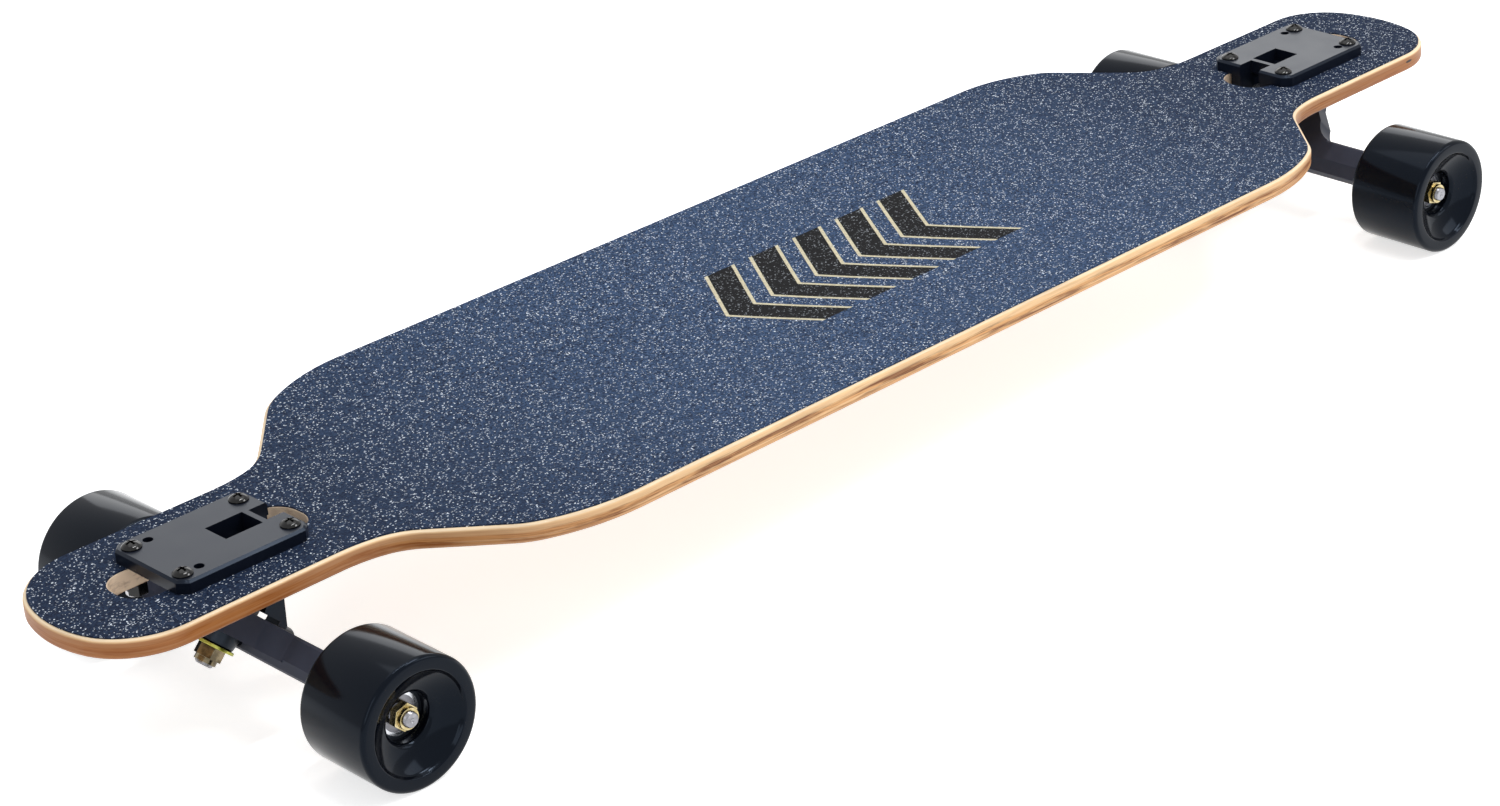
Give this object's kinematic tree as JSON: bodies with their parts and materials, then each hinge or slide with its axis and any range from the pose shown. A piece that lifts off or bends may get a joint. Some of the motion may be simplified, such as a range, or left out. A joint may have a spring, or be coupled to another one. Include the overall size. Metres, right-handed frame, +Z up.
{
  "type": "longboard skateboard",
  "caption": "Drop-through longboard skateboard with a gripped ply deck, sprung steering trucks and soft wheels on ball bearings, for riding and carving.",
  "frame": {"origin": "middle of the board on the floor plane that the wheels stand on", "axes": "+X along the board to its front truck, +Y to its left wheels, +Z up out of the deck"},
  "size_m": [1.016, 0.2644, 0.0977],
  "materials": {
    "deck": "clear satin lacquer over maple plies",
    "grip": "abrasive grit",
    "black_casting": "satin black",
    "black_steel": "gloss black",
    "steel": "bright zinc",
    "bearing_steel": "polished",
    "yellow_zinc": "yellow zinc",
    "urethane": "matt black",
    "wheel_urethane": "gloss black urethane",
    "hub_plastic": "black glass-filled plastic"
  },
  "bodies": {
    "board": {"deck": "deck", "front_baseplate": "black_casting", "front_boardside_bushing": "urethane", "front_boardside_washer": "yellow_zinc", "front_kingpin": "steel", "front_kingpin_nut": "yellow_zinc", "front_mounting_bolts": "black_steel", "front_mounting_nuts": "black_steel", "front_pivot_cup": "urethane", "front_roadside_bushing": "urethane", "front_roadside_washer": "yellow_zinc", "grip_tape": "grip", "rear_baseplate": "black_casting", "rear_boardside_bushing": "urethane", "rear_boardside_washer": "yellow_zinc", "rear_kingpin": "steel", "rear_kingpin_nut": "yellow_zinc", "rear_mounting_bolts": "black_steel", "rear_mounting_nuts": "black_steel", "rear_pivot_cup": "urethane", "rear_roadside_bushing": "urethane", "rear_roadside_washer": "yellow_zinc"},
    "front_truck": {"front_hanger": "black_casting", "front_axle": "steel", "front_axle_nuts": "yellow_zinc", "front_speed_washers": "steel", "front_bearing_spacers": "steel", "front_bearing_inner_races": "bearing_steel"},
    "front_left_wheel": {"front_left_tyre": "wheel_urethane", "front_left_hub": "hub_plastic", "front_left_bearing_outer_races": "bearing_steel", "front_left_bearing_shields": "bearing_steel", "front_left_bearing_balls": "bearing_steel"},
    "front_right_wheel": {"front_right_tyre": "wheel_urethane", "front_right_hub": "hub_plastic", "front_right_bearing_outer_races": "bearing_steel", "front_right_bearing_shields": "bearing_steel", "front_right_bearing_balls": "bearing_steel"},
    "rear_truck": {"rear_hanger": "black_casting", "rear_axle": "steel", "rear_axle_nuts": "yellow_zinc", "rear_speed_washers": "steel", "rear_bearing_spacers": "steel", "rear_bearing_inner_races": "bearing_steel"},
    "rear_left_wheel": {"rear_left_tyre": "wheel_urethane", "rear_left_hub": "hub_plastic", "rear_left_bearing_outer_races": "bearing_steel", "rear_left_bearing_shields": "bearing_steel", "rear_left_bearing_balls": "bearing_steel"},
    "rear_right_wheel": {"rear_right_tyre": "wheel_urethane", "rear_right_hub": "hub_plastic", "rear_right_bearing_outer_races": "bearing_steel", "rear_right_bearing_shields": "bearing_steel", "rear_right_bearing_balls": "bearing_steel"}
  },
  "joints": [
    {"name": "front_steer", "type": "hinge", "parent": "board", "child": "front_truck", "pos_m": [0.4091, 0, 0.04932], "axis": [0.7193, 0, 0.6947], "range_deg": [-18, 18], "stiffness_Nm_per_rad": 40, "deforming": ["front_boardside_bushing", "front_roadside_bushing"]},
    {"name": "rear_steer", "type": "hinge", "parent": "board", "child": "rear_truck", "pos_m": [-0.4091, 0, 0.04932], "axis": [-0.7193, 0, 0.6947], "range_deg": [-18, 18], "stiffness_Nm_per_rad": 40, "deforming": ["rear_boardside_bushing", "rear_roadside_bushing"]},
    {"name": "front_left_spin", "type": "hinge", "parent": "front_truck", "child": "front_left_wheel", "pos_m": [0.39908, 0.10825, 0.0345], "axis": [0, 1, 0], "continuous": true},
    {"name": "front_right_spin", "type": "hinge", "parent": "front_truck", "child": "front_right_wheel", "pos_m": [0.39908, -0.10825, 0.0345], "axis": [0, 1, 0], "continuous": true},
    {"name": "rear_left_spin", "type": "hinge", "parent": "rear_truck", "child": "rear_left_wheel", "pos_m": [-0.39908, 0.10825, 0.0345], "axis": [0, 1, 0], "continuous": true},
    {"name": "rear_right_spin", "type": "hinge", "parent": "rear_truck", "child": "rear_right_wheel", "pos_m": [-0.39908, -0.10825, 0.0345], "axis": [0, 1, 0], "continuous": true}
  ]
}
